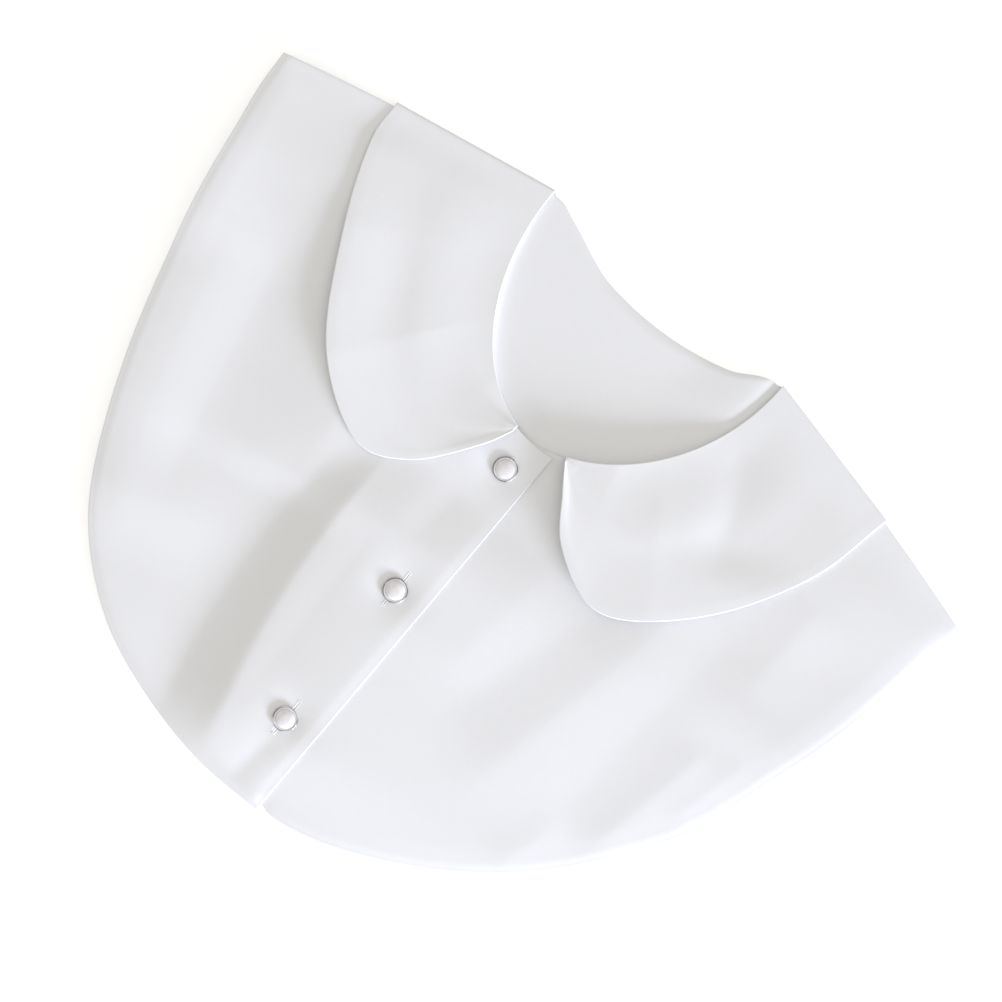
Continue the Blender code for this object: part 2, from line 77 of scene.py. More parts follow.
# Front opening
FRONT_EDGE_X = 10.4
FRONT_LAP = 30.0
NECK_CORNER_INSET = 0.8
BUTTON_INSET = 15.4
BUTTON_NECK_SHIFT = 2.0
EDGE_ROLL = 0.22  # how far the left front's edge rolls down onto the right front
EDGE_ROLL_RUN = 6.0
EDGE_ROLL_OUT = 0.4  # how far beyond the edge the roll would be complete
EDGE_ROLL_TOP = 30.0  # the Y above which the edge doesn't roll
DIMPLE = 1.2  # how far each button draws the fronts down
DIMPLE_RADIUS = 11.0

# Back panel and the hidden half of the leaf
BACK_INSET = 6.0
BACK_MIDDLE_Y = 20.0
BACK_LEAF_DEPTH = 76.0
BACK_PLATEAU = 1.1  # the back lies up on the hidden leaf out to this many times its reach
BACK_STEP = 0.42  # and comes down to the floor over this many more
NECK_RISE = 1.0  # how far the back stands up beside the right end of the neckline
NECK_GROOVE = 6.0  # it is full this far in from the neckline
NECK_RISE_RUN = 36.0  # and gone this far in
NECK_RISE_FROM = 96.0  # it starts at this Y
NECK_RISE_FULL = 124.0  # and is full from this Y upwards

# How the cloth lies
FRONT_FLOAT = 2.2  # how far the fronts float over the back in their middle
HEM_FLOAT = 0.8  # share of the float that the hem has already
FLOAT_RUN = 45.0  # distances from the hem, the shoulder and the neckline where the float is full
SHOULDER_RUN = 46.0
NECK_RUN = 40.0
NECK_FLOAT = {LEFT: 0.15, RIGHT: 0.1}  # shares of the float at the neckline
LEAF_FLOAT = {LEFT: 0.4, RIGHT: 0.9}  # how much more the leaf's front part stands off
FOLD_RUN = 12.0  # distance from the edges where the folds have their full height
FOLD_AT_HEM = 0.85  # share of their height at the edges
TROUGH_SOFTNESS = 0.3  # how softly the troughs flatten on the back
HEM_DROOP = 0.3  # how far the hem turns down
HEM_RUN = 4.0
LAP_EASE = 0.4
LAP_RISE = PANEL_WALL + GAP + LAP_EASE  # how far the left front rises over the right one
LAP_RUN = 40.0  # the width beside the lap in which it rises
LAP_CLEAR = 2.0  # how far before the lap it has risen

# Collar roll and its fold at the shoulders
ROLL_RADIUS = 0.15
BACK_ROLL_RADIUS = 0.12
FOLD_RADIUS = 1.0
FOLD_Z = LEAF_WALL / 2 + FOLD_RADIUS
FOLD_STEPS = 12
TURN_END = 0.8  # how far off the shoulder fold's middle the collar starts
BACK_TURN_END = 0.5  # how far below the back panel's middle the hidden half starts
LEAF_FIRST = 0.012  # share of the leaf's length where its front corner is
SHOULDER_NEAR = 0.8  # share of its length where it starts to near the shoulder fold
SHOULDER_LEVEL = 0.9  # share of its length where it starts to take the fold's height
BACK_TURN_RUN = 0.12  # share of the hidden half in which it comes down from each fold
ROLL_RUN = 0.5  # share of the leaf's depth from its neck edge to its middle height
EDGE_RUN = 0.45  # share of the leaf's depth from its middle height to its edge
LEAF_CLEAR = 0.62  # the least height of the leaf's middle over the front's
LEAF_SOFTNESS = 0.3
LEAF_RUN = 0.45  # share of its length from the shoulder in which its float grows
VALLEY_FADE = 0.3  # share of its length from the shoulder in which its folds grow
VALLEY_START = 0.2  # share of its depth at which they are full

# Buttons
BUTTON_DIAMETER = 11.3
RIM_WIDTH = 0.4
RIM_HEIGHT = 0.6
PEARL_HEIGHT = 1.6
RIM_LIP = 0.05  # how much higher the rim's inner lip is than its outside
RIM_CREST = 0.2  # how much higher its middle is
RIM_SIDE_HEIGHT = 0.3  # where the rim's side starts to curve in to its base
RIM_SIDE_INSET = 0.1
RIM_BASE_INSET = 0.5
RIM_ROUND = 0.22
CUP_FLOOR = 0.25
PEARL_CLEAR = 0.06  # between each pearl and its cup
BORDER_WIDTH = 0.95  # the flat border round each pearl's dome
GROOVE_WIDTH = 0.22
GROOVE_DEPTH = 0.2
SHANK_DIAMETER = 2.0
SHANK_END = 0.02  # how far the shank's two ends stand out at its axis
SHANK_GROOVE = 0.1  # how deep the grooves between its turns of thread are
SEAT_RINGS = (0.3, 0.7, 1.0)  # shares of a seat's radius where the cloth's height is taken
BUTTONHOLE_LENGTHS = (11.0, 18.0, 18.0)
SLIT_WIDTH = 0.12
SLIT_OPEN_REACH = 2.4  # how far along its slit each shank holds it open
SLIT_END_POWER = 6  # how square the slit's ends are
SLIT_CUT_HEIGHT = 1.5  # how far the cut runs above and below the cloth
BUTTONHOLE_SHIFT = 0.8  # how far up from its shank each buttonhole is centred
BUTTONHOLE_WIDTH = SHANK_DIAMETER + 4 * GAP
BUTTON_YS = (38.3, -33.8, -108.2)
STITCH_PITCH = 0.32
STITCH_LENGTH = 1.1
STITCH_DIAMETER = 0.28
STITCH_SINK = 0.03
STITCH_OUT = 0.42  # share of a stitch's length from the slit's side to its middle
STITCH_END = 0.985  # the slit's width at its ends is taken at this share of its half length
STITCH_SLANT = 0.06
STITCH_FLATNESS = 0.85
BAR_STITCHES = 5  # the stitches side by side across each end of a buttonhole
BAR_PITCH = 0.3
BAR_OFFSET = 0.25
BAR_LENGTH = 1.0
BAR_DIRECTION = (0.05, 1.0)

# Fineness of the meshes
FRONT_COLUMNS = 170
BOW_COLUMNS = 21.25  # the columns over which the shoulder's bow fades away
TURN_COLUMNS = 12  # the columns over which the room for the turned shoulder fades away
TURN_DEGREES = (90, 72, 54, 36, 18)
PANEL_ROWS = 116
EDGE_COLUMNS = 10
EDGE_COLUMN_SHARE = 0.016  # share of the left front's width that those columns take
BACK_COLUMNS = 96
BACK_ROWS = 60
LEAF_STATIONS = 110
BACK_STATIONS = 60
LEAF_ROWS = 44
ROLL_STEPS = 9
RIM_STEPS = 4
ROUND_STEPS = 4
ROUND_SHARE = 0.45  # the most of a side that the round at its corner takes
DOME_TOP = 86.0
DOME_LOW = 4.0
DOME_STEPS = 18
TURNED_SIDES = 72
SHANK_SIDES = 24
SHANK_STEPS = 28
SHARP_DEGREES = 50.0
SEAT_SPOTS = 12
SLIT_STATIONS = 25
STITCH_SIDES = 6
CURVE_STEPS = 24
EDGE_STATIONS = 60
LAP_STATIONS = 6
HIDDEN_STATIONS = 9  # where the back leaves the right front's outline, from its lapped end
HEM_ROWS = 4
HEM_ROW_STEP = 0.004
LEAF_EDGE_SHARES = (0.0, 0.003, 0.009, 0.02)
LEAF_EDGE_STEP = 0.04

Place = collections.namedtuple("Place", "x y")
Lift = collections.namedtuple("Lift", "share neck middle edge")
Fold = collections.namedtuple("Fold", "x0 y0 x1 y1 bow rise before after")
Bulge = collections.namedtuple("Bulge", "rise full fade_from fade_to")

# The fronts' side and hem, from the shoulder corner round to the front edge
FRONT_OUTLINES = {
    LEFT: (
        Place(-196.9, 114.4),
        Place(-195.4, 97.0),
        Place(-191.6, 76.0),
        Place(-186.7, 48.5),
        Place(-178.8, 17.0),
        Place(-163.9, -30.0),
        Place(-143.4, -75.5),
        Place(-122.6, -104.6),
        Place(-92.0, -127.6),
        Place(-58.0, -140.6),
        Place(-22.6, -147.2),
        Place(11.2, -147.4),
    ),
    RIGHT: (
        Place(196.9, 114.4),
        Place(190.2, 76.0),
        Place(185.0, 44.5),
        Place(177.0, 14.4),
        Place(163.7, -28.7),
        Place(148.7, -54.6),
        Place(131.4, -77.9),
        Place(111.5, -98.4),
        Place(84.0, -119.0),
        Place(48.7, -137.4),
        Place(20.0, -145.2),
        Place(7.0, -141.0),
        Place(-7.0, -132.5),
        Place(-19.6, -119.0),
    ),
}

# The leaf's outer edge in front, from its rounded front corner up to the shoulder
LEAF_OUTLINES = {
    LEFT: (
        Place(-10.4, 55.8),
        Place(-18.6, 39.0),
        Place(-38.1, 14.0),
        Place(-62.8, 5.6),
        Place(-98.7, 29.0),
        Place(-127.9, 76.3),
        Place(-142.5, 110.9),
        Place(-144.3, 129.3),
    ),
    RIGHT: (
        Place(13.5, 59.9),
        Place(23.0, 46.8),
        Place(38.0, 28.6),
        Place(63.5, 17.0),
        Place(85.4, 26.0),
        Place(112.0, 54.5),
        Place(131.5, 92.0),
        Place(139.4, 129.7),
    ),
}
LEAF_START = {LEFT: 81.0, RIGHT: 72.0}

# How far the back neck edge stands up beyond its arc, by the distance in from each neck point
NECK_BULGES = {LEFT: Bulge(2.8, 9.0, 18.0, 46.0), RIGHT: Bulge(2.4, 7.0, 9.0, 22.0)}

# How far the leaf stands off the front beside its neck edge, in its middle and at its outer edge, by
# the share of its length from its front corner to the shoulder
LEAF_LIFTS = {
    LEFT: (
        Lift(0.00, 2.9, 3.2, 3.4),
        Lift(0.25, 2.8, 3.6, 4.2),
        Lift(0.50, 2.2, 4.0, 5.5),
        Lift(0.62, 1.7, 3.3, 5.3),
        Lift(0.75, 1.1, 2.7, 4.6),
        Lift(0.92, 0.7, 1.2, 2.1),
        Lift(1.00, 0.65, 0.7, 0.8),
    ),
    RIGHT: (
        Lift(0.00, 4.1, 4.5, 5.0),
        Lift(0.25, 3.9, 4.5, 5.5),
        Lift(0.45, 2.7, 4.3, 5.3),
        Lift(0.75, 0.7, 2.2, 3.6),
        Lift(0.92, 0.65, 1.3, 2.1),
        Lift(1.00, 0.65, 0.7, 0.7),
    ),
}

# The fronts' folds, each along a line from (x0, y0) to (x1, y1), bowed sideways at its middle. A ridge
# has a positive rise and a trough a negative one, and before and after are its half widths.
FOLDS = (
    Fold(-45, 18, -20, -150, -9.0, 2.8, 11, 130),
    Fold(-64, 2, -48, -150, -8.0, -1.2, 22, 8),
    Fold(10, 20, 8, -160, 0.0, 1.2, 38, 90),
    Fold(-164, 50, -110, -108, -8.0, 1.6, 60, 32),
    Fold(-206, 150, -180, 10, -3.0, 2.7, 50, 34),
    Fold(-142, 64, -108, -76, -2.0, -1.2, 26, 30),
    Fold(-80, 44, -68, -40, 0.0, 1.7, 40, 26),
    Fold(-12, 22, -14, -14, 0.0, -0.3, 12, 12),
    Fold(-30, -10, -24, -130, 0.0, -0.3, 10, 12),
    Fold(-4, -116, -7, -146, 0.0, -0.5, 7, 6),
    Fold(42, 24, 34, -52, 0.0, 0.3, 16, 16),
    Fold(76, 40, 44, -70, 0.0, -0.4, 18, 20),
    Fold(100, 60, 72, -90, 2.0, 0.8, 20, 28),
    Fold(122, 56, 112, -70, 0.0, -0.3, 18, 18),
    Fold(147, 8, 134, -72, 0.0, 0.6, 12, 14),
    Fold(163, 12, 153, -36, 0.0, 0.3, 9, 9),
    Fold(188, 124, 181, 0, 2.0, 1.8, 48, 16),
    Fold(143, 86, 142, 30, 0.0, 0.4, 14, 14),
    Fold(117, -62, 107, -100, 0.0, 0.3, 11, 9),
)

# The folds in the leaf, over its own table of heights
LEAF_FOLDS = {
    LEFT: (
        Fold(-16, 84, -12, 20, 0.0, 1.2, 22, 12),
    ),
    RIGHT: (
        Fold(66, 156, 98, 58, 0.0, -0.9, 12, 30),
    ),
}
FOLD_FADE = 0.22  # share of a fold's length over which each end fades
FOLD_SHARPNESS = 1.5

# Cross sections of a stitch from end to end: share of its length, share of its size, and height
STITCH_SECTIONS = (
    (-0.5, 0.35, -0.32),
    (-0.42, 0.75, -0.14),
    (-0.2, 1.0, 0.0),
    (0.0, 1.0, 0.03),
    (0.2, 1.0, 0.0),
    (0.42, 0.75, -0.14),
    (0.5, 0.35, -0.32),
)


def smooth(share):
    """0 below 0 and 1 above 1, with a smooth rise between."""
    share = np.clip(share, 0, 1)
    return share * share * (3 - 2 * share)


def soft_maximum(a, b, softness):
    """The larger of two heights, with a soft turn from one to the other."""
    return b + softness * np.logaddexp(0, (a - b) / softness)


def curve_at(places, shares):
    """Points at these shares of the length of a smooth curve through the places."""
    knots = np.array(places, float)
    ends = np.vstack([2 * knots[0] - knots[1], knots, 2 * knots[-1] - knots[-2]])
    t = np.linspace(0, 1, CURVE_STEPS, endpoint=False)[:, None]
    spans = []
    for a, b, c, d in zip(ends, ends[1:], ends[2:], ends[3:]):
        square = 2 * a - 5 * b + 4 * c - d
        cube = 3 * b - a - 3 * c + d
        spans.append(b + (t * (c - a) + t**2 * square + t**3 * cube) / 2)
    fine = np.vstack(spans + [knots[-1:]])
    steps = np.hypot(*np.diff(fine, axis=0).T)
    along = np.concatenate([[0], np.cumsum(steps)]) / steps.sum()
    return np.stack([np.interp(shares, along, fine[:, axis]) for axis in (0, 1)], axis=-1)


def distance_to(line, x, y):
    """Distance from each (x, y) to a line of points."""
    nearest = np.full(np.shape(x), np.inf)
    for (ax, ay), (bx, by) in zip(line, line[1:]):
        length2 = (bx - ax) ** 2 + (by - ay) ** 2
        share = np.clip(((x - ax) * (bx - ax) + (y - ay) * (by - ay)) / length2, 0, 1)
        off_x, off_y = x - ax - share * (bx - ax), y - ay - share * (by - ay)
        nearest = np.minimum(nearest, np.hypot(off_x, off_y))
    return nearest


def front_neck(side, degrees, out=0.0):
    """The front neckline, from the neck point at 0 degrees to the middle of the front at 90."""
    angle = np.radians(degrees)
    lean = FRONT_NECK_LEAN if side == RIGHT else 0.0
    x = side * (NECK_WIDTH / 2 + out) * np.cos(angle) - lean * np.sin(angle) ** 2
    y = NECK_Y - (FRONT_NECK_DEPTH + out) * np.sin(angle)
    return np.stack([x, y], axis=-1)


def back_neck(shares, out=0.0):
    """The back neckline, a shallow arc from the left neck point to the right one."""
    half = NECK_WIDTH / 2
    radius = (half**2 + BACK_NECK_DEPTH**2) / (2 * BACK_NECK_DEPTH)
    reach = math.asin(half / radius)
    angle = (2 * np.asarray(shares) - 1) * reach
    centre_y = NECK_Y - BACK_NECK_DEPTH + radius
    x = (radius + out) * np.sin(angle)
    y = centre_y - (radius + out) * np.cos(angle)
    for side, bulge in NECK_BULGES.items():
        inward = half - side * x
        fade = smooth((bulge.fade_to - inward) / (bulge.fade_to - bulge.fade_from))
        y = y + bulge.rise * smooth(inward / bulge.full) * fade
    return np.stack([x, y], axis=-1)


def shoulder_line(side):
    """The body's shoulder edge, from the neck out to the corner, with a slight outward bow."""
    share = np.linspace(0, 1, SHOULDER_STATIONS)
    start = front_neck(side, 0.0, NECK_TURN)
    x = start[0] + share * (side * SHOULDER_WIDTH / 2 - start[0])
    y = start[1] + share * (SHOULDER_Y - start[1]) + 4 * SHOULDER_BOW * share * (1 - share)
    return np.stack([x, y], axis=-1)


def fold_height(fold, x, y):
    """The height that one fold adds at each (x, y)."""
    along_x, along_y = fold.x1 - fold.x0, fold.y1 - fold.y0
    length = math.hypot(along_x, along_y)
    share = ((x - fold.x0) * along_x + (y - fold.y0) * along_y) / length**2
    across = ((y - fold.y0) * along_x - (x - fold.x0) * along_y) / length
    inside = np.clip(share, 0, 1)
    across = across - fold.bow * 4 * inside * (1 - inside)
    width = np.where(across < 0, fold.before, fold.after)
    fade = smooth(share / FOLD_FADE) * smooth((1 - share) / FOLD_FADE)
    return fold.rise * fade * np.exp(-(np.abs(across / width) ** FOLD_SHARPNESS))


EDGE_SHARES = np.linspace(0, 1, EDGE_STATIONS)
EDGES = {side: curve_at(FRONT_OUTLINES[side], EDGE_SHARES) for side in (LEFT, RIGHT)}
HEM = np.vstack([EDGES[LEFT], EDGES[RIGHT][::-1][LAP_STATIONS:]])
SHOULDERS = {side: shoulder_line(side) for side in (LEFT, RIGHT)}


def button_x(y):
    """Where a button sits across the front: the top one is a little nearer the edge."""
    return FRONT_EDGE_X - BUTTON_INSET + BUTTON_NECK_SHIFT * smooth(y / BUTTON_YS[0])


def beyond_neck(x, y):
    """About how far (x, y) lies outside the front neckline."""
    return np.hypot(x, (y - NECK_Y) * NECK_WIDTH / 2 / FRONT_NECK_DEPTH) - NECK_WIDTH / 2


def back_height(x, y):
    """Middle of the back panel: it lies on the floor, and rises over the leaf's hidden half."""
    left_end, right_end = LEAF_OUTLINES[LEFT][-1], LEAF_OUTLINES[RIGHT][-1]
    centre_x = (left_end.x + right_end.x) / 2
    half = (right_end.x - left_end.x) / 2
    reach = np.hypot((x - centre_x) / half, np.minimum(y - left_end.y, 0) / BACK_LEAF_DEPTH)
    over = smooth((BACK_PLATEAU + BACK_STEP - reach) / BACK_STEP)
    inward = -beyond_neck(x, y)
    fade = smooth((NECK_RISE_RUN - inward) / (NECK_RISE_RUN - NECK_GROOVE))
    fade = fade * smooth((y - NECK_RISE_FROM) / (NECK_RISE_FULL - NECK_RISE_FROM))
    risen = np.where(np.asarray(x) > 0, NECK_RISE * smooth(inward / NECK_GROOVE) * fade, 0)
    return PANEL_WALL / 2 + (LEAF_WALL + GAP) * over + risen


def front_height(side, x, y):
    """Middle of a front panel: it lies on the back, floats in its middle, and carries the folds."""
    to_hem = distance_to(HEM, x, y)
    to_left, to_right = (distance_to(SHOULDERS[end], x, y) for end in (LEFT, RIGHT))
    to_shoulder = np.minimum(to_left, to_right)
    to_edge = np.minimum(to_hem, to_shoulder)
    floated = FRONT_FLOAT * (HEM_FLOAT + (1 - HEM_FLOAT) * smooth(to_hem / FLOAT_RUN))
    from_neck = smooth(beyond_neck(x, y) / NECK_RUN)
    floated = floated * (NECK_FLOAT[side] + (1 - NECK_FLOAT[side]) * from_neck)
    floated = floated * smooth(to_shoulder / SHOULDER_RUN)
    held = FOLD_AT_HEM + (1 - FOLD_AT_HEM) * smooth(to_edge / FOLD_RUN)
    folds = held * sum(fold_height(fold, x, y) for fold in FOLDS)
    for button_y in BUTTON_YS:
        off = np.hypot(x - button_x(button_y), y - button_y)
        folds = folds - DIMPLE * np.exp(-((off / DIMPLE_RADIUS) ** 2))
    height = back_height(x, y) + PANEL_WALL + GAP
    height = height + soft_maximum(floated + folds, 0, TROUGH_SOFTNESS)
    height = height - HEM_DROOP * smooth(1 - to_hem / HEM_RUN)
    if side == LEFT:
        lap_start = FRONT_EDGE_X - FRONT_LAP - LAP_RUN
        height = height + LAP_RISE * smooth((x - lap_start) / (LAP_RUN - LAP_CLEAR))
        rolled = EDGE_ROLL * smooth((EDGE_ROLL_TOP - y) / EDGE_ROLL_TOP)
        inward = FRONT_EDGE_X + EDGE_ROLL_OUT - x
        height = height - rolled * smooth(1 - inward / EDGE_ROLL_RUN)
    return height


def leaf_height(side, share, across, x, y):
    """Middle of the leaf in front: it is stiffer than the panel, and bridges the panel's folds."""
    rows = LEAF_LIFTS[side]
    shares = [row.share for row in rows]
    middle = np.interp(share, shares, [row.middle for row in rows])
    edge = np.interp(share, shares, [row.edge for row in rows])
    roll = np.interp(share, shares, [row.neck for row in rows])
    lift = middle + (roll - middle) * (1 - smooth(across / ROLL_RUN))
    lift = lift + (edge - middle) * smooth((across - 1 + EDGE_RUN) / EDGE_RUN)
    fade = smooth((1 - share) / VALLEY_FADE) * smooth(across / VALLEY_START)
    folds = fade * sum(fold_height(fold, x, y) for fold in LEAF_FOLDS[side])
    floated = LEAF_FLOAT[side] * smooth((1 - share) / LEAF_RUN)
    level_front = back_height(x, y) + PANEL_WALL + GAP + floated
    clear = front_height(side, x, y) + LEAF_CLEAR
    return soft_maximum(level_front + lift + folds, clear, LEAF_SOFTNESS)


def finished(name, vertices, faces, material):
    """A new smooth-shaded object from points in millimetres."""
    mesh = bpy.data.meshes.new(name)
    mesh.from_pydata((np.asarray(vertices) * MM).tolist(), [], faces)
    mesh.shade_smooth()
    mesh.materials.append(material)
    made = bpy.data.objects.new(name, mesh)
    bpy.context.scene.collection.objects.link(made)
    return made


def unit(vectors):
    """The same directions with length 1."""
    return vectors / np.maximum(np.linalg.norm(vectors, axis=-1, keepdims=True), 1e-9)


def neckward(direction):
    """The direction square to this one that points up to the neck."""
    square = np.array([-direction[1], direction[0]])
    return -square if square[1] < 0 else square


def shell(name, grid, thickness, material):
    """A thin closed cloth round a grid of points, with rounded edges. Its thickness may vary."""
    rows, columns = grid.shape[:2]
    normals = unit(np.cross(np.gradient(grid, axis=1), np.gradient(grid, axis=0)))
    flip = normals[rows // 2, columns // 2, 2] < 0
    if flip:
        normals = -normals
    half = np.broadcast_to(np.asarray(thickness, float) / 2, (rows, columns))[..., None]
    index = np.arange(rows * columns).reshape(rows, columns)
    loop = np.concatenate([index[0, :-1], index[:-1, -1], index[-1, :0:-1], index[:0:-1, 0]])
    flat, flat_normals, flat_half = grid.reshape(-1, 3), normals.reshape(-1, 3), half.reshape(-1, 1)
    along = unit(np.roll(flat[loop], -1, axis=0) - np.roll(flat[loop], 1, axis=0))
    outward = unit(np.cross(along, flat_normals[loop]))
    if np.dot(outward[0], grid[1, 1] - grid[0, 0]) > 0:
        outward = -outward
    angles = np.linspace(0, math.pi, RIM_STEPS + 1)[1:-1]
    rims = []
    for angle in angles:
        turn = math.cos(angle) * flat_normals[loop] + math.sin(angle) * outward
        rims.append(flat[loop] + flat_half[loop] * turn)
    vertices = np.vstack([flat + flat_half * flat_normals, flat - flat_half * flat_normals] + rims)
    count = rows * columns
    a, b = index[:-1, :-1].ravel(), index[:-1, 1:].ravel()
    c, d = index[1:, 1:].ravel(), index[1:, :-1].ravel()
    top = np.stack([a, b, c, d], axis=1)
    if flip:
        top = top[:, ::-1]
    faces = top.tolist() + (top[:, ::-1] + count).tolist()
    rings = [loop] + [2 * count + k * len(loop) + np.arange(len(loop)) for k in range(len(angles))]
    rings.append(loop + count)
    for upper, lower in zip(rings, rings[1:]):
        quads = np.stack([lower, np.roll(lower, -1), np.roll(upper, -1), upper], axis=1)
        faces += (quads[:, ::-1] if flip else quads).tolist()
    made = finished(name, vertices, faces, material)
    made.data.validate()
    return made


def ruled_grid(inner, outer, row_shares):
    """Rows of points on straight lines from an inner edge out to an outer edge."""
    shares = np.asarray(row_shares)[:, None, None]
    return inner[None] + shares * (outer - inner)[None]


def panel_rows(count):
    """Row shares from neckline to hem, closer together at the hem, where the cloth turns down."""
    inner = np.linspace(0, 1 - HEM_ROWS * HEM_ROW_STEP, count - HEM_ROWS)
    return np.concatenate([inner, 1 - HEM_ROW_STEP * np.arange(HEM_ROWS - 1, -1, -1)])


def front_shares(side):
    """Column shares from the shoulder to the front edge, closer together at the edge that shows."""
    if side == RIGHT:
        return np.linspace(0, 1, FRONT_COLUMNS)
    edge = 1 - EDGE_COLUMN_SHARE * np.linspace(1, 0, EDGE_COLUMNS)
    inner = np.linspace(0, edge[0], FRONT_COLUMNS - EDGE_COLUMNS + 1)[:-1]
    return np.concatenate([inner, edge])


def with_heights(plan, heights):
    """Points in space from points in plan and their heights."""
    return np.concatenate([plan, heights[..., None]], axis=-1)


def make_front(side, material):
    """One front panel, from the shoulder, where it turns down into the back, to the front edge."""
    start = side * (NECK_WIDTH / 2 + NECK_TURN)
    lean = FRONT_NECK_LEAN if side == RIGHT else 0.0
    end_x = FRONT_EDGE_X - (NECK_CORNER_INSET if side == LEFT else FRONT_LAP)
    end_angle = math.degrees(math.acos((end_x + lean) / start))
    shares = front_shares(side)
    inner = front_neck(side, end_angle * shares, NECK_TURN)
    outer = curve_at(FRONT_OUTLINES[side], shares)
    along = (outer[0] - inner[0]) / np.hypot(*(outer[0] - inner[0]))
    inner[0] += FRONT_SHOULDER_START * along
    rows = panel_rows(PANEL_ROWS)
    plan = ruled_grid(inner, outer, rows)
    bow = 4 * SHOULDER_BOW * rows * (1 - rows)
    columns = np.arange(plan.shape[1])
    plan[..., 1] += bow[:, None] * smooth(1 - columns / BOW_COLUMNS)[None]
    beyond = neckward(along)
    plan -= beyond * SHOULDER_TURN * smooth(1 - columns / TURN_COLUMNS)[None, :, None]
    grid = with_heights(plan, front_height(side, plan[..., 0], plan[..., 1]))
    turned_down = []
    for angle in np.radians(TURN_DEGREES):
        column = grid[:, 0].copy()
        column[:, :2] += beyond * SHOULDER_TURN * math.sin(angle)
        column[:, 2] -= SHOULDER_TURN * (1 - math.cos(angle))
        turned_down.append(column)
    grid = np.concatenate([np.stack(turned_down, axis=1), grid], axis=1)
    name = "front_left_cloth" if side == LEFT else "front_right_cloth"
    return shell(name, grid, CLOTH, material)


def make_back(material):
    """The back panel, from the left shoulder to the right one."""
    inner = back_neck(np.linspace(0, 1, BACK_COLUMNS), BACK_NECK_EDGE)
    outline = np.vstack([EDGES[LEFT][:-LAP_STATIONS], EDGES[RIGHT][-HIDDEN_STATIONS::-1]])
    to_middle = np.array([0, BACK_MIDDLE_Y]) - outline
    inset = outline + BACK_INSET * to_middle / np.hypot(*to_middle.T)[:, None]
    outer = curve_at(inset, np.linspace(0, 1, BACK_COLUMNS))
    for end, side in ((0, LEFT), (-1, RIGHT)):
        line = SHOULDERS[side]
        along = (line[-1] - line[0]) / np.hypot(*(line[-1] - line[0]))
        below = np.array([0, -SHOULDER_TURN])
        inner[end] = line[0] + BACK_SHOULDER_START * along + below
        outer[end] = line[-1] - BACK_INSET * along + below
    plan = ruled_grid(inner, outer, panel_rows(BACK_ROWS))
    grid = with_heights(plan, back_height(plan[..., 0], plan[..., 1]))
    return shell("back_cloth", grid, CLOTH, material)


def leaf_shares():
    """Row shares across the leaf, closer together at its neck and outer edges, where it turns."""
    edge = np.array(LEAF_EDGE_SHARES)
    inner = np.linspace(LEAF_EDGE_STEP, 1 - LEAF_EDGE_STEP, LEAF_ROWS - 2 * len(edge))
    return np.concatenate([edge, inner, 1 - edge[::-1]])


def collar_section(length, radius, top, end, leaf):
    """The collar's cut section: distances out from the neck edge, and heights off the body's middle.

    It starts inside the neck, turns over the body's edge and runs out along the leaf's heights.
    """
    half = LEAF_WALL / 2
    turn = np.radians(np.linspace(0, 90, ROLL_STEPS))
    out = np.concatenate([[half], half + radius * (1 - np.cos(turn))])
    height = np.concatenate([[end], top - radius + radius * np.sin(turn)])
    shares = leaf_shares()[1:]
    leaf_out = out[-1] + shares * (length - out[-1])
    return np.concatenate([out, leaf_out]), np.concatenate([height, leaf])


def collar_column(start, finish, middle_z, tilt, radius, end, heights_of):
    """One column of the collar from its neck edge to its outer edge, turned about them by tilt."""
    toward = finish - start
    length = np.hypot(*toward)
    toward = toward / length
    top_out = LEAF_WALL / 2 + radius
    across = leaf_shares()
    plan = start + (top_out + across * (length - top_out))[:, None] * toward
    heights = heights_of(across, plan[:, 0], plan[:, 1])
    out, height = collar_section(length, radius, heights[0], end, heights[1:])
    beyond = (height * math.sin(tilt))[:, None] * neckward(toward)
    points = start + out[:, None] * toward + beyond
    return np.column_stack([points, middle_z + height * math.cos(tilt)])


def level(height):
    """A leaf that stays at one height off the body's middle."""
    return lambda across, x, y: np.full(np.shape(across), height)


def front_columns(side):
    """Columns of the leaf's front half, from its front corner to the shoulder."""
    shares = np.linspace(LEAF_FIRST, 1, LEAF_STATIONS)
    starts = front_neck(side, LEAF_START[side] * (1 - shares))
    finishes = curve_at(LEAF_OUTLINES[side], shares)
    columns = []
    for share, start, finish in zip(shares, starts, finishes):
        near = smooth((share - SHOULDER_NEAR) / (1 - SHOULDER_NEAR))
        edge_z = float(front_height(side, start[0], start[1]))
        middle_z = edge_z + (FOLD_Z - edge_z) * near
        inside = float(back_height(start[0], start[1])) + (CLOTH + LEAF_CLOTH) / 2 + GAP - edge_z
        end = inside + (TURN_END - inside) * near

        def heights(across, x, y, share=share, middle_z=middle_z):
            laid = leaf_height(side, share, across, x, y)
            level_share = smooth((share - SHOULDER_LEVEL) / (1 - SHOULDER_LEVEL))
            return laid + (FOLD_Z + FOLD_RADIUS - laid) * level_share - middle_z

        columns.append(collar_column(start, finish, middle_z, 0.0, ROLL_RADIUS, end, heights))
    return columns


def fold_columns(side):
    """Columns round the shoulder fold, from the front half to the back half."""
    start = front_neck(side, 0.0)
    finish = np.array(LEAF_OUTLINES[side][-1])
    heights = level(FOLD_RADIUS)
    columns = []
    for step in range(1, FOLD_STEPS):
        tilt = math.pi * step / FOLD_STEPS
        columns.append(collar_column(start, finish, FOLD_Z, tilt, ROLL_RADIUS, TURN_END, heights))
    return columns


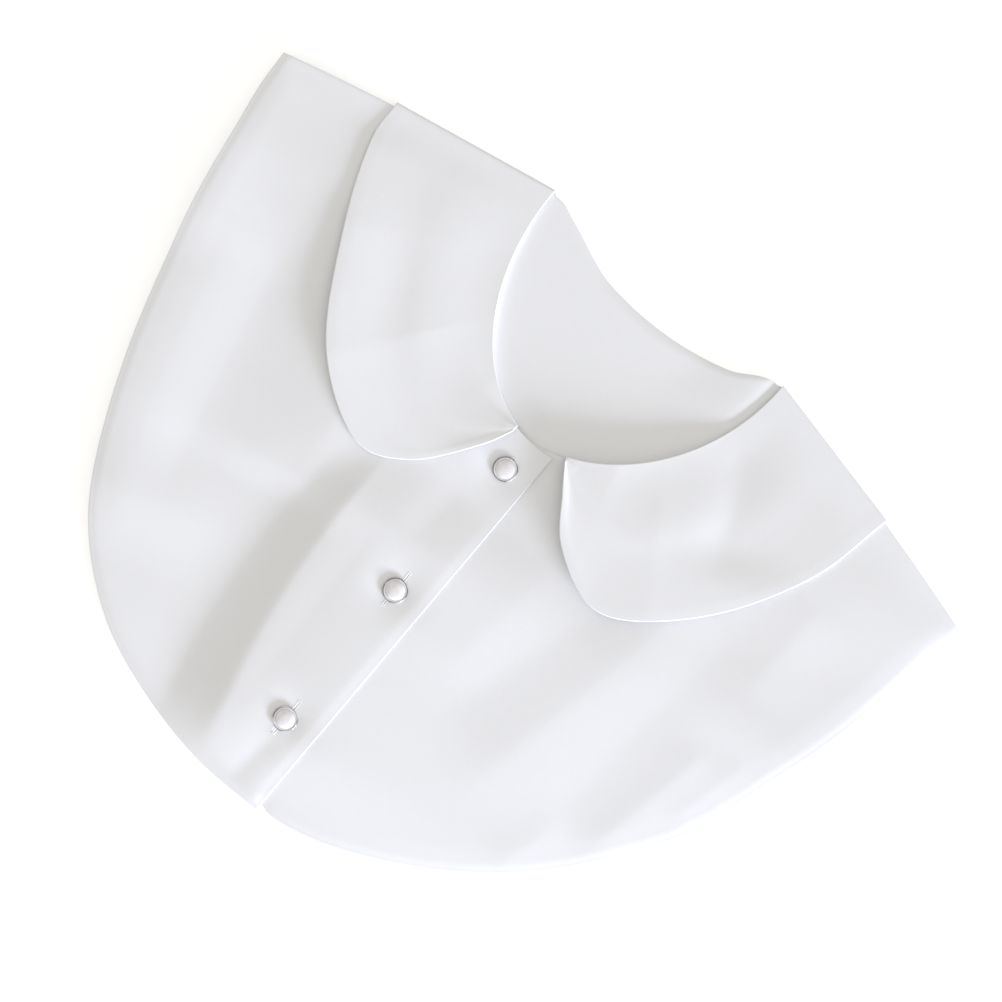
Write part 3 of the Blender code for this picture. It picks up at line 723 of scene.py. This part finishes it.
def back_columns():
    """Columns of the leaf's hidden half, from the left shoulder to the right one."""
    left_end, right_end = np.array(LEAF_OUTLINES[LEFT][-1]), np.array(LEAF_OUTLINES[RIGHT][-1])
    shares = np.linspace(0, 1, BACK_STATIONS)
    starts = back_neck(shares)
    angles = math.pi * shares[:, None]
    middle = (left_end + right_end) / 2
    half = (right_end - left_end) / 2
    finishes = middle - np.cos(angles) * half - np.sin(angles) * [0, BACK_LEAF_DEPTH]
    columns = []
    for share, start, finish in zip(shares, starts, finishes):
        near = smooth(1 - np.minimum(share, 1 - share) / BACK_TURN_RUN)
        edge_z = float(back_height(start[0], start[1]))
        middle_z = edge_z + (FOLD_Z - edge_z) * near
        end = BACK_TURN_END + (TURN_END - BACK_TURN_END) * near
        radius = BACK_ROLL_RADIUS + (ROLL_RADIUS - BACK_ROLL_RADIUS) * near
        heights = level(middle_z - LEAF_WALL / 2)
        columns.append(collar_column(start, finish, middle_z, math.pi, radius, end, heights))
    return columns


def make_collar(material):
    """The collar of two layers: front left, shoulder fold, back, shoulder fold and front right."""
    columns = front_columns(LEFT) + fold_columns(LEFT) + back_columns()
    columns += fold_columns(RIGHT)[::-1] + front_columns(RIGHT)[::-1]
    grid = np.stack(columns, axis=1)
    to_outer = np.linalg.norm(grid - grid[-1:], axis=-1)
    to_left = np.linalg.norm(grid - grid[:, :1], axis=-1)
    to_right = np.linalg.norm(grid - grid[:, -1:], axis=-1)
    to_seam = np.minimum(to_outer, np.minimum(to_left, to_right))
    swell = SEAM_SWELL * smooth((SEAM_WIDTH + SEAM_FADE / 2 - to_seam) / SEAM_FADE)
    return shell("collar_cloth", grid, LEAF_CLOTH + swell, material)


def turned(name, profile, place, material, sides=TURNED_SIDES):
    """A turned solid whose (radius, height) profile runs from the top of its axis to the bottom."""
    vertices = [(0, 0, profile[0][1])]
    turns = 2 * math.pi * np.arange(sides) / sides
    for radius, height in profile[1:-1]:
        vertices += [(radius * math.cos(turn), radius * math.sin(turn), height) for turn in turns]
    vertices.append((0, 0, profile[-1][1]))
    last = len(vertices) - 1
    faces = []
    for side in range(sides):
        after = (side + 1) % sides
        faces.append((0, 1 + side, 1 + after))
        for ring in range(len(profile) - 3):
            upper, lower = 1 + ring * sides, 1 + (ring + 1) * sides
            faces.append((upper + side, lower + side, lower + after, upper + after))
        lower = last - sides
        faces.append((last, lower + after, lower + side))
    made = finished(name, np.array(vertices) + place, faces, material)
    made.data.set_sharp_from_angle(angle=math.radians(SHARP_DEGREES))
    return made


def seat_height(side, x, y, radius):
    """Height just clear of a front's highest point within this radius."""
    angles = np.linspace(0, 2 * math.pi, SEAT_SPOTS, endpoint=False)
    radii = np.array(SEAT_RINGS)[:, None] * radius
    spots = front_height(side, x + radii * np.cos(angles), y + radii * np.sin(angles))
    return float(np.max(spots)) + PANEL_WALL / 2 + GAP


def rounded(points, corner):
    """The (radius, height) points of a profile with each corner cut into a short round."""
    out = [points[0]]
    for before, here, after in zip(points, points[1:], points[2:]):
        before, here, after = (np.array(p, float) for p in (before, here, after))
        cut_in = min(corner, ROUND_SHARE * np.linalg.norm(before - here))
        cut_out = min(corner, ROUND_SHARE * np.linalg.norm(after - here))
        a = here + cut_in * unit(before - here)
        b = here + cut_out * unit(after - here)
        for t in np.linspace(0, 1, ROUND_STEPS):
            out.append(tuple((1 - t) ** 2 * a + 2 * t * (1 - t) * here + t**2 * b))
    return out + [points[-1]]


def rim_profile():
    """The silver rim's section: a shallow cup with a rounded lip."""
    radius = BUTTON_DIAMETER / 2
    cup = radius - RIM_WIDTH
    corners = [
        (0, CUP_FLOOR),
        (cup, CUP_FLOOR),
        (cup, RIM_HEIGHT + RIM_LIP),
        (cup + RIM_WIDTH / 2, RIM_HEIGHT + RIM_CREST),
        (radius, RIM_HEIGHT),
        (radius - RIM_SIDE_INSET, RIM_SIDE_HEIGHT),
        (radius - RIM_BASE_INSET, 0),
        (0, 0),
    ]
    return rounded(corners, RIM_ROUND)


def pearl_profile():
    """The half pearl's section: a dome inside a groove and a flat border."""
    border = BUTTON_DIAMETER / 2 - RIM_WIDTH - PEARL_CLEAR
    dome = border - BORDER_WIDTH
    rise = PEARL_HEIGHT - RIM_HEIGHT
    angles = np.radians(np.linspace(DOME_TOP, DOME_LOW, DOME_STEPS))
    arc = [(dome * math.cos(a), RIM_HEIGHT + rise * math.sin(a)) for a in angles]
    pearl_floor = CUP_FLOOR + PEARL_CLEAR
    edge = [
        (dome + GROOVE_WIDTH / 2, RIM_HEIGHT - GROOVE_DEPTH),
        (dome + GROOVE_WIDTH, RIM_HEIGHT),
        (border, RIM_HEIGHT),
        (border, pearl_floor),
        (0, pearl_floor),
    ]
    return [(0, PEARL_HEIGHT)] + arc + edge


def shank_profile(foot):
    """The thread shank's section, wound in turns from the button down to its foot."""
    wound = [(0, SHANK_END)]
    for step, z in enumerate(np.linspace(0, foot, SHANK_STEPS)):
        wound.append((SHANK_DIAMETER / 2 - SHANK_GROOVE * (step % 2), z))
    return wound + [(0, foot - SHANK_END)]


def make_buttons(silver, pearl, thread):
    """Three half pearls in thin silver rims, each on a wound thread shank."""
    made = []
    for number, y in enumerate(BUTTON_YS, start=1):
        x = button_x(y)
        base = seat_height(LEFT, x, y, BUTTON_DIAMETER / 2)
        foot = seat_height(RIGHT, x, y, SHANK_DIAMETER) - base
        place = (x, y, base)
        rim_piece = turned(f"rim_{number}", rim_profile(), place, silver)
        pearl_piece = turned(f"pearl_{number}", pearl_profile(), place, pearl)
        shank = turned(f"shank_{number}", shank_profile(foot), place, thread, SHANK_SIDES)
        made.append((rim_piece, pearl_piece, shank))
    return made


def slit_half(along, length):
    """Half the width of the opened buttonhole, along its length from -1 to 1."""
    opened = np.exp(-((along * length / 2 / SLIT_OPEN_REACH) ** 2))
    open_part = 0.5 * (BUTTONHOLE_WIDTH - SLIT_WIDTH) * opened
    return (open_part + SLIT_WIDTH / 2) * np.sqrt(np.clip(1 - along**SLIT_END_POWER, 0, 1))


def cut_buttonholes(cloth, material):
    """Cuts the three slits through the left front, along its front edge."""
    vertices, faces = [], []
    along = np.linspace(-1, 1, SLIT_STATIONS)
    for y, length in zip(BUTTON_YS, BUTTONHOLE_LENGTHS):
        x, y = button_x(y), y + BUTTONHOLE_SHIFT
        half = slit_half(along, length)
        right_side = list(zip(half, along * length / 2))
        outline = right_side + [(-dx, dy) for dx, dy in right_side[-2:0:-1]]
        middle = float(front_height(LEFT, x, y))
        first, count = len(vertices), len(outline)
        for z in (middle - SLIT_CUT_HEIGHT, middle + SLIT_CUT_HEIGHT):
            vertices += [(x + dx, y + dy, z) for dx, dy in outline]
        faces.append(tuple(first + k for k in reversed(range(count))))
        faces.append(tuple(first + count + k for k in range(count)))
        for k in range(count):
            after = (k + 1) % count
            faces.append((first + k, first + after, first + count + after, first + count + k))
    cutter = finished("cutter", vertices, faces, material)
    cut = cloth.modifiers.new("Buttonholes", "BOOLEAN")
    cut.operation = "DIFFERENCE"
    cut.solver = "EXACT"
    cut.object = cutter
    bpy.context.view_layer.update()
    graph = bpy.context.evaluated_depsgraph_get()
    mesh = bpy.data.meshes.new_from_object(cloth.evaluated_get(graph))
    cloth.modifiers.clear()
    cloth.data = mesh
    bpy.data.objects.remove(cutter, do_unlink=True)


def add_stitch(vertices, faces, x, y, direction, length):
    """Adds one stitch on the left front, a flattened bead that dips into the cloth at both ends."""
    z = float(front_height(LEFT, x, y)) + CLOTH / 2 - STITCH_SINK
    centre = np.array([x, y, z])
    direction = np.array([direction[0], direction[1], 0.0])
    across = np.array([-direction[1], direction[0], 0.0])
    upward = np.array([0, 0, 1.0])
    first = len(vertices)
    for share, size, drop in STITCH_SECTIONS:
        for side in range(STITCH_SIDES):
            turn = 2 * math.pi * side / STITCH_SIDES
            off = across * math.cos(turn) + upward * math.sin(turn) * STITCH_FLATNESS
            point = centre + direction * share * length + off * size * STITCH_DIAMETER / 2
            vertices.append(point + [0, 0, drop])
    for ring in range(len(STITCH_SECTIONS) - 1):
        here = first + ring * STITCH_SIDES
        for side in range(STITCH_SIDES):
            after = (side + 1) % STITCH_SIDES
            upper, lower = here + side, here + STITCH_SIDES + side
            faces.append((upper, here + after, here + STITCH_SIDES + after, lower))
    faces.append(tuple(first + k for k in reversed(range(STITCH_SIDES))))
    last = first + (len(STITCH_SECTIONS) - 1) * STITCH_SIDES
    faces.append(tuple(last + k for k in range(STITCH_SIDES)))


def make_stitches(thread):
    """The close stitching round each buttonhole: along both sides, and a bar at both ends."""
    made = []
    for number, (y, length) in enumerate(zip(BUTTON_YS, BUTTONHOLE_LENGTHS), start=1):
        x, y = button_x(y), y + BUTTONHOLE_SHIFT
        vertices, faces = [], []
        count = int(length / STITCH_PITCH)
        for side in (-1, 1):
            for k in range(count + 1):
                along = -1 + 2 * k / count
                reach = float(slit_half(np.array(along * STITCH_END), length))
                cx = x + side * (reach + STITCH_LENGTH * STITCH_OUT)
                cy = y + along * length / 2
                add_stitch(vertices, faces, cx, cy, (side, STITCH_SLANT), STITCH_LENGTH)
        for end in (-1, 1):
            for k in range(BAR_STITCHES):
                cx = x + (k - BAR_STITCHES // 2) * BAR_PITCH
                cy = y + end * (length / 2 + BAR_OFFSET)
                add_stitch(vertices, faces, cx, cy, BAR_DIRECTION, BAR_LENGTH)
        made.append(finished(f"buttonhole_stitching_{number}", vertices, faces, thread))
    return made


def nodes_of(name):
    """A new node material, with its tree and surface shader."""
    made = bpy.data.materials.new(name)
    made.use_nodes = True
    tree = made.node_tree
    return made, tree, tree.nodes["Principled BSDF"]


def maths(tree, operation, a, b=None):
    """The output of a new maths node on one or two values or sockets."""
    node = tree.nodes.new("ShaderNodeMath")
    node.operation = operation
    for socket, value in zip(node.inputs, (a, b)):
        if value is None:
            continue
        if isinstance(value, (int, float)):
            socket.default_value = value
        else:
            tree.links.new(value, socket)
    return node.outputs[0]


def cotton_material(name, colour, thread_pitch=0.22, weave=0.014):
    """Fine white shirting: a plain weave with uneven threads, soft and matt with a slight sheen."""
    made, tree, surface = nodes_of(name)
    surface.inputs["Roughness"].default_value = 0.82
    surface.inputs["Sheen Weight"].default_value = 0.25
    surface.inputs["Sheen Roughness"].default_value = 0.5
    surface.inputs["Specular IOR Level"].default_value = 0.25
    where = tree.nodes.new("ShaderNodeTexCoord").outputs["Object"]
    parts = tree.nodes.new("ShaderNodeSeparateXYZ")
    tree.links.new(where, parts.inputs[0])
    waves = []
    for axis in (0, 1):
        turned_by = maths(tree, "MULTIPLY", parts.outputs[axis], math.pi / (thread_pitch * MM))
        waves.append(maths(tree, "SINE", turned_by))
    woven = maths(tree, "MULTIPLY", waves[0], waves[1])
    slubs = []
    for stretch in ((260.0, 2400.0, 260.0), (2400.0, 260.0, 260.0)):
        mapping = tree.nodes.new("ShaderNodeMapping")
        mapping.inputs["Scale"].default_value = stretch
        tree.links.new(where, mapping.inputs["Vector"])
        noise = tree.nodes.new("ShaderNodeTexNoise")
        noise.inputs["Scale"].default_value = 1.0
        noise.inputs["Detail"].default_value = 2.0
        tree.links.new(mapping.outputs[0], noise.inputs["Vector"])
        slubs.append(noise.outputs["Fac"])
    slub = maths(tree, "ADD", slubs[0], slubs[1])
    height = maths(tree, "ADD", woven, maths(tree, "MULTIPLY", slub, 0.9))
    bump = tree.nodes.new("ShaderNodeBump")
    bump.inputs["Distance"].default_value = weave * MM
    bump.inputs["Strength"].default_value = 0.6
    tree.links.new(height, bump.inputs["Height"])
    tree.links.new(bump.outputs[0], surface.inputs["Normal"])
    shade = tree.nodes.new("ShaderNodeMapRange")
    shade.inputs["From Min"].default_value = 0.6
    shade.inputs["From Max"].default_value = 1.4
    tree.links.new(slub, shade.inputs["Value"])
    mix = tree.nodes.new("ShaderNodeMix")
    mix.data_type = "RGBA"
    mix.inputs["A"].default_value = (*[0.975 * channel for channel in colour], 1)
    mix.inputs["B"].default_value = (*colour, 1)
    tree.links.new(shade.outputs[0], mix.inputs["Factor"])
    tree.links.new(mix.outputs["Result"], surface.inputs["Base Color"])
    return made


def silver_material():
    """Silver with painted shade in dark patches and painted reflections in the bright patches between.
    """
    made, tree, surface = nodes_of("silver rim")
    surface.inputs["Metallic"].default_value = 1.0
    surface.inputs["Roughness"].default_value = 0.3
    noise = tree.nodes.new("ShaderNodeTexNoise")
    noise.inputs["Scale"].default_value = 130.0
    noise.inputs["Detail"].default_value = 2.0
    where = tree.nodes.new("ShaderNodeTexCoord").outputs["Object"]
    tree.links.new(where, noise.inputs["Vector"])
    # The ramp paints shade into the metal's colour as dark patches and reflections as light ones
    ramp = tree.nodes.new("ShaderNodeValToRGB")
    ramp.color_ramp.elements[0].position = 0.46
    ramp.color_ramp.elements[0].color = (0.26, 0.26, 0.27, 1)
    ramp.color_ramp.elements[1].position = 0.6
    ramp.color_ramp.elements[1].color = (0.85, 0.85, 0.86, 1)
    tree.links.new(noise.outputs["Fac"], ramp.inputs["Fac"])
    tree.links.new(ramp.outputs["Color"], surface.inputs["Base Color"])
    return made


def pearl_material():
    """A pale, glossy pearl with faint cloudy bands."""
    made, tree, surface = nodes_of("pearl")
    surface.inputs["Roughness"].default_value = 0.22
    surface.inputs["Coat Weight"].default_value = 0.6
    surface.inputs["Coat Roughness"].default_value = 0.08
    surface.inputs["Sheen Weight"].default_value = 0.2
    noise = tree.nodes.new("ShaderNodeTexNoise")
    noise.inputs["Scale"].default_value = 260.0
    noise.inputs["Detail"].default_value = 2.0
    noise.inputs["Distortion"].default_value = 1.5
    where = tree.nodes.new("ShaderNodeTexCoord").outputs["Object"]
    tree.links.new(where, noise.inputs["Vector"])
    ramp = tree.nodes.new("ShaderNodeValToRGB")
    ramp.color_ramp.elements[0].position = 0.3
    ramp.color_ramp.elements[0].color = (0.75, 0.73, 0.735, 1)
    ramp.color_ramp.elements[1].position = 0.7
    ramp.color_ramp.elements[1].color = (0.85, 0.83, 0.84, 1)
    tree.links.new(noise.outputs["Fac"], ramp.inputs["Fac"])
    tree.links.new(ramp.outputs["Color"], surface.inputs["Base Color"])
    return made


def floor_material():
    """A plain, pale and matt floor that glows a little."""
    made, tree, surface = nodes_of("pale floor")
    surface.inputs["Base Color"].default_value = (0.97, 0.97, 0.97, 1)
    surface.inputs["Roughness"].default_value = 0.9
    surface.inputs["Specular IOR Level"].default_value = 0.0
    surface.inputs["Emission Color"].default_value = (1, 1, 1, 1)
    surface.inputs["Emission Strength"].default_value = 0.3
    return made


# Camera, light and floor, in metres
CAMERA_TURN = math.radians(40.58)
CAMERA_CENTRE = (4.7, 26.4)  # in millimetres
CAMERA_DISTANCE = 1.2
PICTURE_WIDTH = 0.4434
SENSOR_WIDTH = 36.0  # in millimetres, as a camera's sensor is
KEY_PLACE = (4.0, -0.93, 0.61)
KEY_SIZE = (1.8, 0.7)
KEY_POWER = 288.0
KEY_COLOUR = (0.9, 0.96, 1.18)
WORLD_COLOUR = (1.0, 0.985, 0.95, 1)
WORLD_LOW = 0.64
WORLD_HIGH = 0.88
FLOOR_SIZE = 12.0
FLOOR_DROP = 0.0004


def make_stage():
    """A pale floor just under the garment."""
    bpy.ops.mesh.primitive_plane_add(size=FLOOR_SIZE, location=(0, 0, -FLOOR_DROP))
    floor = bpy.context.object
    floor.name = "floor"
    floor.data.materials.append(floor_material())


def make_light():
    """A low, broad and soft light from the right, in a world that is brighter on that side."""
    data = bpy.data.lights.new("key", "AREA")
    data.shape = "RECTANGLE"
    data.size, data.size_y = KEY_SIZE
    data.energy = KEY_POWER
    data.color = KEY_COLOUR
    key = bpy.data.objects.new("key", data)
    bpy.context.scene.collection.objects.link(key)
    key.location = KEY_PLACE
    direction = -np.array(KEY_PLACE)
    yaw = math.atan2(direction[1], direction[0])
    drop = math.atan2(math.hypot(direction[0], direction[1]), -direction[2])
    key.rotation_euler = (drop, 0, yaw - math.pi / 2)
    key.visible_camera = False
    world = bpy.data.worlds.new("studio")
    bpy.context.scene.world = world
    world.use_nodes = True
    tree = world.node_tree
    background = tree.nodes["Background"]
    where = tree.nodes.new("ShaderNodeTexCoord").outputs["Generated"]
    parts = tree.nodes.new("ShaderNodeSeparateXYZ")
    tree.links.new(where, parts.inputs[0])
    spread = tree.nodes.new("ShaderNodeMapRange")
    spread.inputs["From Min"].default_value = -1.0
    spread.inputs["From Max"].default_value = 1.0
    spread.inputs["To Min"].default_value = WORLD_LOW
    spread.inputs["To Max"].default_value = WORLD_HIGH
    tree.links.new(parts.outputs[0], spread.inputs["Value"])
    background.inputs["Color"].default_value = WORLD_COLOUR
    tree.links.new(spread.outputs[0], background.inputs["Strength"])


def make_camera():
    """A camera straight above, turned as the garment lies in the picture."""
    data = bpy.data.cameras.new("camera")
    data.sensor_width = SENSOR_WIDTH
    data.lens = SENSOR_WIDTH * CAMERA_DISTANCE / PICTURE_WIDTH
    camera = bpy.data.objects.new("camera", data)
    bpy.context.scene.collection.objects.link(camera)
    camera.location = (CAMERA_CENTRE[0] * MM, CAMERA_CENTRE[1] * MM, CAMERA_DISTANCE)
    camera.rotation_euler = (0, 0, CAMERA_TURN)
    bpy.context.scene.camera = camera


cotton = cotton_material("white shirting", (0.835, 0.835, 0.84))
thread = cotton_material("white thread", (0.92, 0.92, 0.92), 0.2, 0.02)
silver = silver_material()
pearl = pearl_material()

make_camera()
back = make_back(cotton)
front_right = make_front(RIGHT, cotton)
front_left = make_front(LEFT, cotton)
cut_buttonholes(front_left, cotton)
collar = make_collar(cotton)
buttons = make_buttons(silver, pearl, thread)
stitching = make_stitches(thread)

for piece, node in (
    (back, "back_panel"),
    (front_right, "front_panel_right"),
    (front_left, "front_panel_left"),
    (collar, "collar"),
):
    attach(piece, "root")
    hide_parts(node)
for number, (rim, dome, shank) in enumerate(buttons, start=1):
    for piece in (rim, dome, shank):
        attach(piece, "root")
    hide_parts(f"button_rim_{number}")
    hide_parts(f"button_pearl_{number}")
for piece in stitching:
    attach(piece, "root")

make_stage()
make_light()
scene = bpy.context.scene
scene.view_settings.view_transform = "Standard"
scene.view_settings.look = "None"
